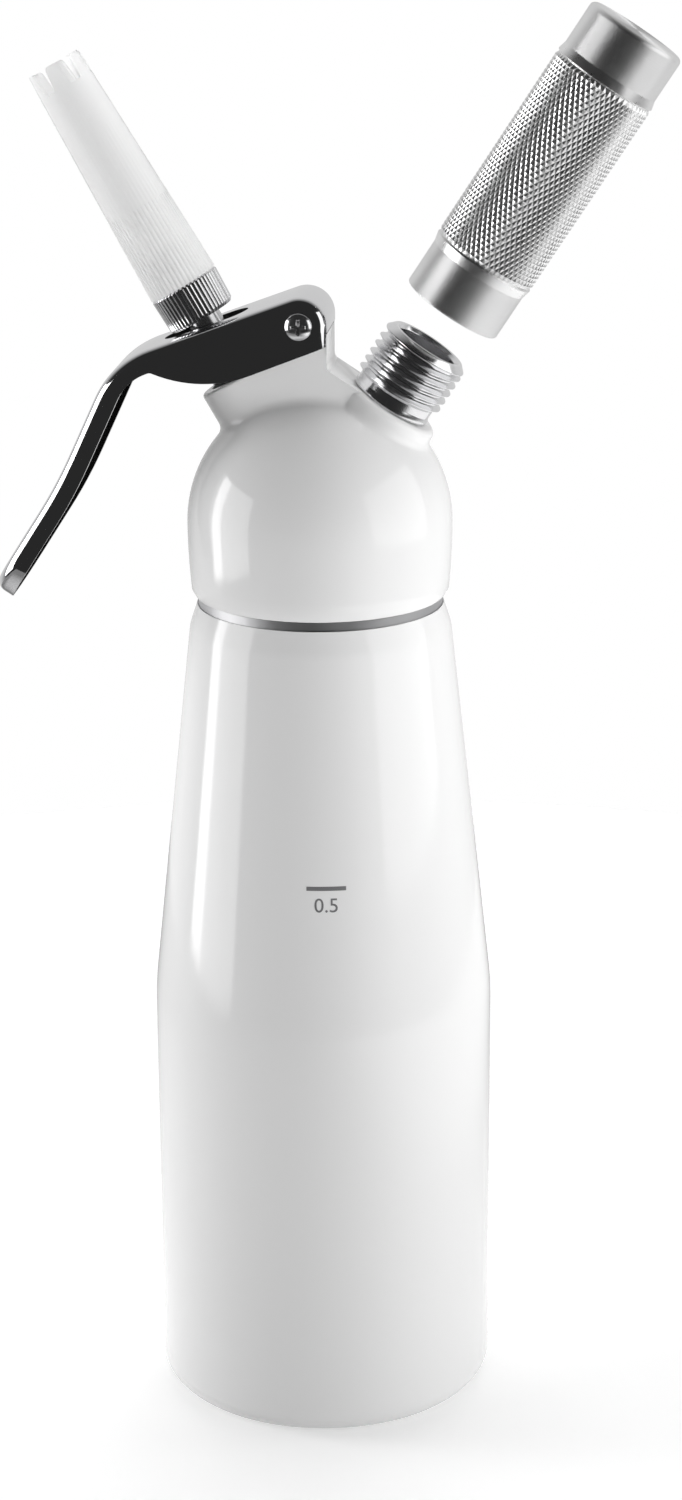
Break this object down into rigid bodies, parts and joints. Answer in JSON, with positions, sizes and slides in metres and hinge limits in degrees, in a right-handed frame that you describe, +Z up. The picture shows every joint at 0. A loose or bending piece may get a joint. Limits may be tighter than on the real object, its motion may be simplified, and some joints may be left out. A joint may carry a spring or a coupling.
{
  "type": "cream whipper",
  "caption": "White half-litre cream whipper with a polished lever valve, a toothed decorating tip and an unscrewed knurled charger holder.",
  "frame": {"origin": "Centre of the flat base of the bottle.", "axes": "+Z up along the bottle, +X towards the charger port, -X towards the lever, -Y towards the viewer and the pivot screw."},
  "size_m": [0.1527, 0.079, 0.3255],
  "materials": {
    "white_paint": "gloss",
    "chrome": "polished",
    "steel": "satin",
    "aluminium": "satin",
    "white_plastic": "satin",
    "rubber": "matte"
  },
  "bodies": {
    "bottle": {"bottle": "white_paint"},
    "gasket": {"head_gasket": "rubber"},
    "head": {"head": "white_paint", "charger_port": "chrome", "port_seal": "rubber", "piercing_pin": "steel", "charger_seal": "rubber", "check_sleeve": "rubber", "pivot_sleeve": "chrome", "pivot_screw": "chrome", "valve_spring": "steel"},
    "lever": {"lever": "chrome"},
    "stem": {"valve_stem": "steel", "stem_o_ring": "rubber", "poppet_gasket": "rubber", "stem_collar": "chrome"},
    "adapter": {"tip_adapter": "chrome", "adapter_seal": "rubber"},
    "tip": {"decorating_tip": "white_plastic"},
    "pad": {"holder_pad": "rubber"},
    "holder": {"charger_holder": "aluminium"}
  },
  "joints": [
    {"name": "head_lift", "type": "slide", "parent": "bottle", "child": "gasket", "axis": [0, 0, 1], "range_m": [0, 0.055]},
    {"name": "head_turn", "type": "hinge", "parent": "gasket", "child": "head", "pos_m": [0, 0, 0.2082], "axis": [0, 0, 1], "continuous": true},
    {"name": "lever_squeeze", "type": "hinge", "parent": "head", "child": "lever", "pos_m": [-0.0033, 0, 0.2565], "axis": [0, -1, 0], "range_deg": [0, 10], "stiffness_Nm_per_rad": 1.5, "springref_deg": -5.73},
    {"name": "stem_press", "type": "slide", "parent": "head", "child": "stem", "axis": [0.5, 0, -0.866], "range_m": [0, 0.00276], "deforming": ["valve_spring"]},
    {"name": "adapter_turn", "type": "hinge", "parent": "stem", "child": "adapter", "pos_m": [-0.028, 0, 0.2602], "axis": [-0.5, 0, 0.866], "continuous": true},
    {"name": "tip_pull", "type": "slide", "parent": "adapter", "child": "tip", "axis": [-0.5, 0, 0.866], "range_m": [0, 0.06]},
    {"name": "holder_lift", "type": "slide", "parent": "head", "child": "pad", "axis": [0.5476, 0, 0.8368], "range_m": [-0.0222, 0.07]},
    {"name": "holder_turn", "type": "hinge", "parent": "pad", "child": "holder", "pos_m": [0.06451, 0, 0.31211], "axis": [0.5476, 0, 0.8368], "continuous": true}
  ],
  "couplings": [
    {"joint": "stem_press", "follows": "lever_squeeze", "m_per_rad": 0.01576}
  ]
}
